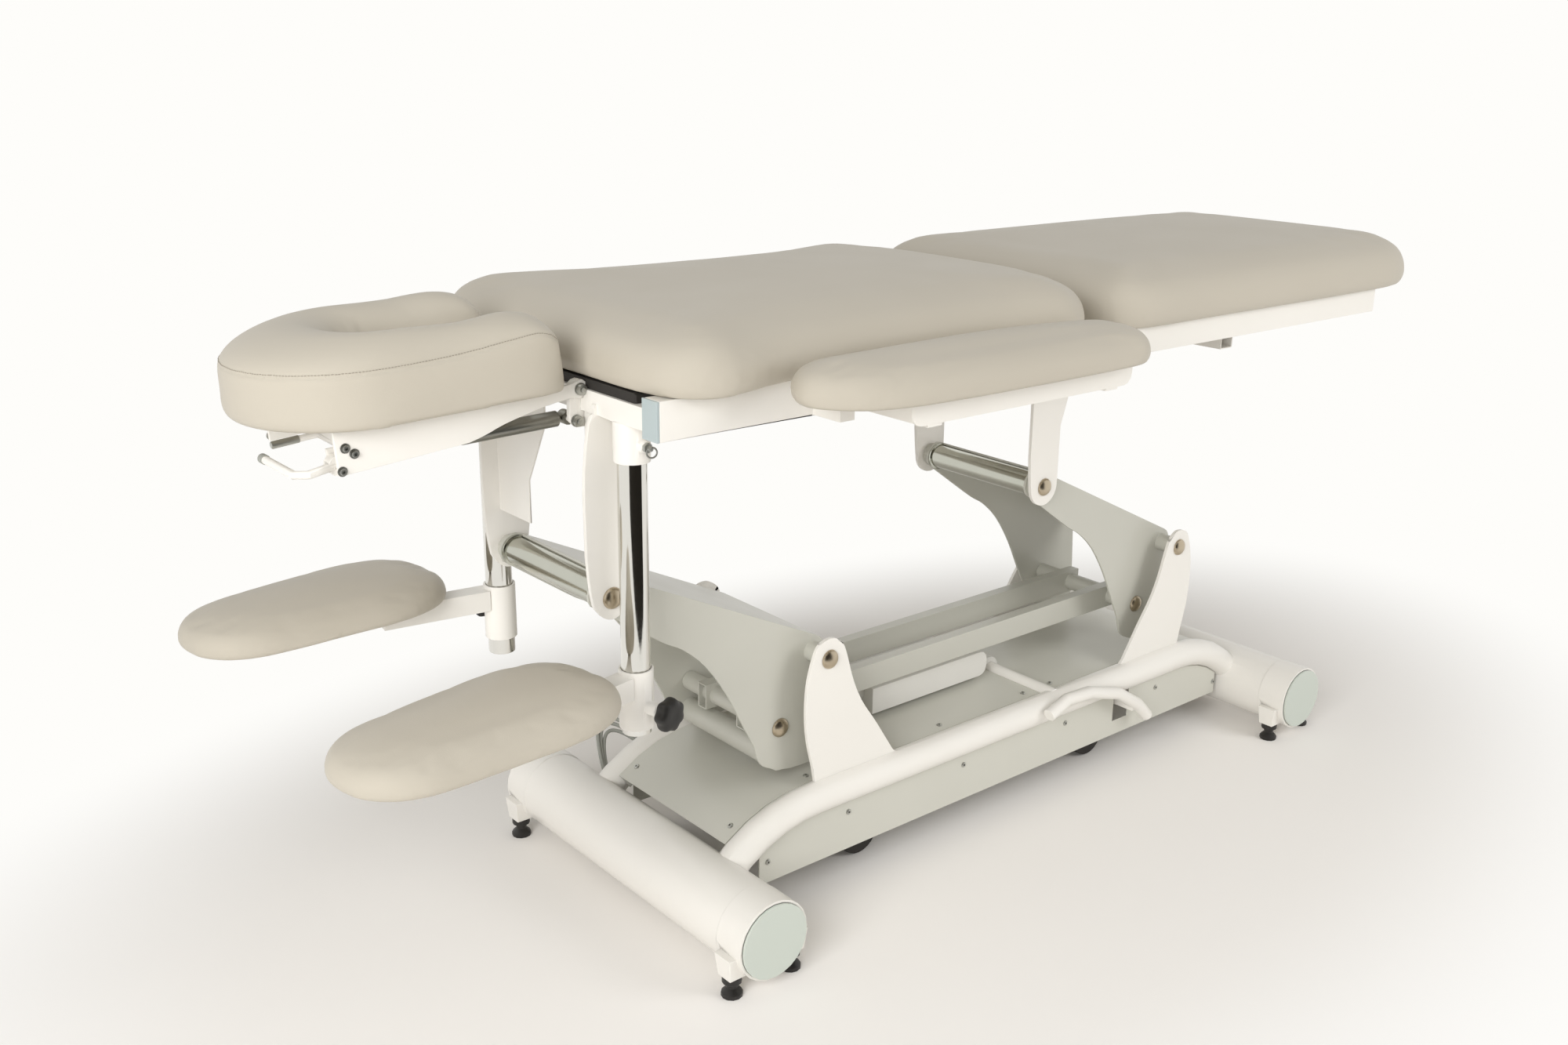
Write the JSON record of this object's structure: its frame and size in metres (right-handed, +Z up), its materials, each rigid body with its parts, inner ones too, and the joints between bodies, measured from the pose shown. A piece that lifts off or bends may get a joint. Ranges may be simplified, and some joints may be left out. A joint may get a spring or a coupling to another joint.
{
  "type": "massage table",
  "caption": "Electric massage table: round-tube base with lifting arms, padded torso, leg, head and side sections, and two hanging forearm rests.",
  "frame": {"origin": "on the floor, under the middle of the table's overall length and width", "axes": "+X towards the foot end, +Y towards the far side (away from the castor pedal), +Z up"},
  "size_m": [2.1142, 0.8908, 0.914],
  "materials": {
    "white_paint": "satin",
    "grey_paint": "satin",
    "pale_grey_covers": "satin",
    "white_plastic": "satin",
    "cushion_cover": "satin",
    "chrome_posts": "polished",
    "steel_pins": "satin",
    "black_plastic": "satin",
    "castor_rubber": "satin",
    "cable_sheath": "satin"
  },
  "bodies": {
    "base": {"base_frame": "white_paint", "head_near_end_disc": "pale_grey_covers", "head_far_end_disc": "pale_grey_covers", "foot_near_end_disc": "pale_grey_covers", "foot_far_end_disc": "pale_grey_covers", "foot_1": "black_plastic", "foot_2": "black_plastic", "foot_3": "black_plastic", "foot_4": "black_plastic", "foot_5": "black_plastic", "foot_6": "black_plastic", "foot_7": "black_plastic", "foot_8": "black_plastic", "near_side_panel": "pale_grey_covers", "far_side_panel": "pale_grey_covers", "floor_pan": "pale_grey_covers", "control_box": "white_plastic", "head_base_pivot_pin": "steel_pins", "foot_base_pivot_pin": "steel_pins", "cable_bundle": "cable_sheath"},
    "head_arm": {"head_lift_arm": "grey_paint", "head_top_pivot_pin": "steel_pins", "head_link_pivot_pin": "steel_pins"},
    "foot_arm": {"foot_lift_arm": "grey_paint", "foot_top_pivot_pin": "steel_pins", "foot_link_pivot_pin": "steel_pins"},
    "link": {"drag_link": "grey_paint"},
    "motor": {"actuator_body": "pale_grey_covers"},
    "push_rod": {"actuator_rod": "steel_pins"},
    "chassis": {"top_frame": "white_paint", "near_rail_cap": "pale_grey_covers", "far_rail_cap": "pale_grey_covers", "torso_cushion": "cushion_cover", "near_rest_post": "chrome_posts", "far_rest_post": "chrome_posts"},
    "near_pin": {"near_pull_pin": "steel_pins"},
    "far_pin": {"far_pull_pin": "steel_pins"},
    "near_rest": {"near_rest_arm": "white_paint", "near_rest_cushion": "cushion_cover"},
    "far_rest": {"far_rest_arm": "white_paint", "far_rest_cushion": "cushion_cover"},
    "near_knob": {"near_clamp_knob": "black_plastic"},
    "far_knob": {"far_clamp_knob": "black_plastic"},
    "near_wing": {"near_wing_frame": "white_paint", "near_wing_cushion": "cushion_cover"},
    "far_wing": {"far_wing_frame": "white_paint", "far_wing_cushion": "cushion_cover"},
    "head_section": {"head_frame": "white_paint", "head_cushion": "cushion_cover"},
    "release_handle": {"head_release_handle": "white_paint"},
    "gas_cylinder": {"gas_spring_body": "steel_pins"},
    "gas_piston": {"gas_spring_rod": "steel_pins"},
    "leg_section": {"leg_frame": "white_paint", "leg_cushion": "cushion_cover"},
    "pedal": {"castor_pedal": "white_paint"},
    "carriage": {"castor_carriage": "white_paint"},
    "wheel_head_near": {"head_near_castor": "castor_rubber"},
    "wheel_head_far": {"head_far_castor": "castor_rubber"},
    "wheel_foot_near": {"foot_near_castor": "castor_rubber"},
    "wheel_foot_far": {"foot_far_castor": "castor_rubber"}
  },
  "joints": [
    {"name": "lift", "type": "hinge", "parent": "base", "child": "head_arm", "pos_m": [-0.27582, 0, 0.3734], "axis": [0, 1, 0], "range_deg": [-36, 8]},
    {"name": "top_stays_level", "type": "hinge", "parent": "head_arm", "child": "chassis", "pos_m": [-0.62782, 0, 0.5417], "axis": [0, 1, 0], "range_deg": [-8.5, 36.5]},
    {"name": "foot_arm_turn", "type": "hinge", "parent": "base", "child": "foot_arm", "pos_m": [0.54668, 0, 0.3734], "axis": [0, 1, 0], "range_deg": [-36.5, 8.5]},
    {"name": "drag_link_turn", "type": "hinge", "parent": "head_arm", "child": "link", "pos_m": [-0.33372, 0, 0.2681], "axis": [0, 1, 0], "range_deg": [-8.5, 36.5]},
    {"name": "actuator_tilt", "type": "hinge", "parent": "base", "child": "motor", "pos_m": [0.22848, 0, 0.178], "axis": [0, 1, 0], "range_deg": [-1, 2.3]},
    {"name": "actuator_stroke", "type": "slide", "parent": "motor", "child": "push_rod", "axis": [-1, 0, 0], "range_m": [-0.099, 0.024]},
    {"name": "head_section_tilt", "type": "hinge", "parent": "chassis", "child": "head_section", "pos_m": [-0.64752, 0, 0.808], "axis": [0, 1, 0], "range_deg": [-30, 6]},
    {"name": "gas_spring_swing", "type": "hinge", "parent": "chassis", "child": "gas_cylinder", "pos_m": [-0.65052, -0.07, 0.768], "axis": [0, 1, 0], "range_deg": [-32, 7]},
    {"name": "gas_spring_stroke", "type": "slide", "parent": "gas_cylinder", "child": "gas_piston", "axis": [-0.9997, 0, -0.0263], "range_m": [-0.0205, 0.0045]},
    {"name": "release_handle_lift", "type": "hinge", "parent": "head_section", "child": "release_handle", "pos_m": [-0.95027, -0.075, 0.75742], "axis": [0, 1, 0], "range_deg": [0, 12], "stiffness_Nm_per_rad": 1.5, "springref_deg": -5.73},
    {"name": "leg_section_tilt", "type": "hinge", "parent": "chassis", "child": "leg_section", "pos_m": [0.16248, 0, 0.798], "axis": [0, -1, 0], "range_deg": [0, 7.5]},
    {"name": "near_wing_slide", "type": "slide", "parent": "chassis", "child": "near_wing", "axis": [0, -1, 0], "range_m": [0, 0.08]},
    {"name": "far_wing_slide", "type": "slide", "parent": "chassis", "child": "far_wing", "axis": [0, 1, 0], "range_m": [0, 0.08]},
    {"name": "near_rest_swivel", "type": "hinge", "parent": "chassis", "child": "near_rest", "pos_m": [-0.62152, -0.1714, 0.419], "axis": [0, 0, 1], "range_deg": [-14, 78]},
    {"name": "far_rest_swivel", "type": "hinge", "parent": "chassis", "child": "far_rest", "pos_m": [-0.62152, 0.1714, 0.434], "axis": [0, 0, -1], "range_deg": [-6, 78]},
    {"name": "near_knob_turn", "type": "hinge", "parent": "near_rest", "child": "near_knob", "pos_m": [-0.62152, -0.1714, 0.41], "axis": [0.2079, -0.9781, 0], "range_deg": [-360, 0]},
    {"name": "far_knob_turn", "type": "hinge", "parent": "far_rest", "child": "far_knob", "pos_m": [-0.62152, 0.1714, 0.425], "axis": [0.1392, 0.9903, 0], "range_deg": [-360, 0]},
    {"name": "near_pin_pull", "type": "slide", "parent": "chassis", "child": "near_pin", "axis": [0, -1, 0], "range_m": [0, 0.008], "stiffness_N_per_m": 1500, "springref_m": -0.002},
    {"name": "far_pin_pull", "type": "slide", "parent": "chassis", "child": "far_pin", "axis": [0, 1, 0], "range_m": [0, 0.008], "stiffness_N_per_m": 1500, "springref_m": -0.002},
    {"name": "pedal_press", "type": "hinge", "parent": "base", "child": "pedal", "pos_m": [0.40748, -0.11, 0.12], "axis": [1, 0, 0], "range_deg": [0, 15]},
    {"name": "castors_lower", "type": "slide", "parent": "base", "child": "carriage", "axis": [0, 0, -1], "range_m": [0, 0.0082]},
    {"name": "head_near_castor_roll", "type": "hinge", "parent": "carriage", "child": "wheel_head_near", "pos_m": [-0.16652, -0.097, 0.0395], "axis": [0, 1, 0], "continuous": true},
    {"name": "head_far_castor_roll", "type": "hinge", "parent": "carriage", "child": "wheel_head_far", "pos_m": [-0.16652, 0.097, 0.0395], "axis": [0, 1, 0], "continuous": true},
    {"name": "foot_near_castor_roll", "type": "hinge", "parent": "carriage", "child": "wheel_foot_near", "pos_m": [0.38848, -0.097, 0.0395], "axis": [0, 1, 0], "continuous": true},
    {"name": "foot_far_castor_roll", "type": "hinge", "parent": "carriage", "child": "wheel_foot_far", "pos_m": [0.38848, 0.097, 0.0395], "axis": [0, 1, 0], "continuous": true}
  ],
  "couplings": [
    {"joint": "top_stays_level", "follows": "lift", "ratio": -1},
    {"joint": "foot_arm_turn", "follows": "lift", "ratio": 1},
    {"joint": "drag_link_turn", "follows": "lift", "ratio": -1},
    {"joint": "actuator_tilt", "follows": "lift", "ratio": -0.05},
    {"joint": "actuator_stroke", "follows": "lift", "m_per_rad": 0.1541},
    {"joint": "gas_spring_swing", "follows": "head_section_tilt", "ratio": 1.055},
    {"joint": "gas_spring_stroke", "follows": "head_section_tilt", "m_per_rad": 0.0375},
    {"joint": "castors_lower", "follows": "pedal_press", "m_per_rad": 0.03056}
  ]
}
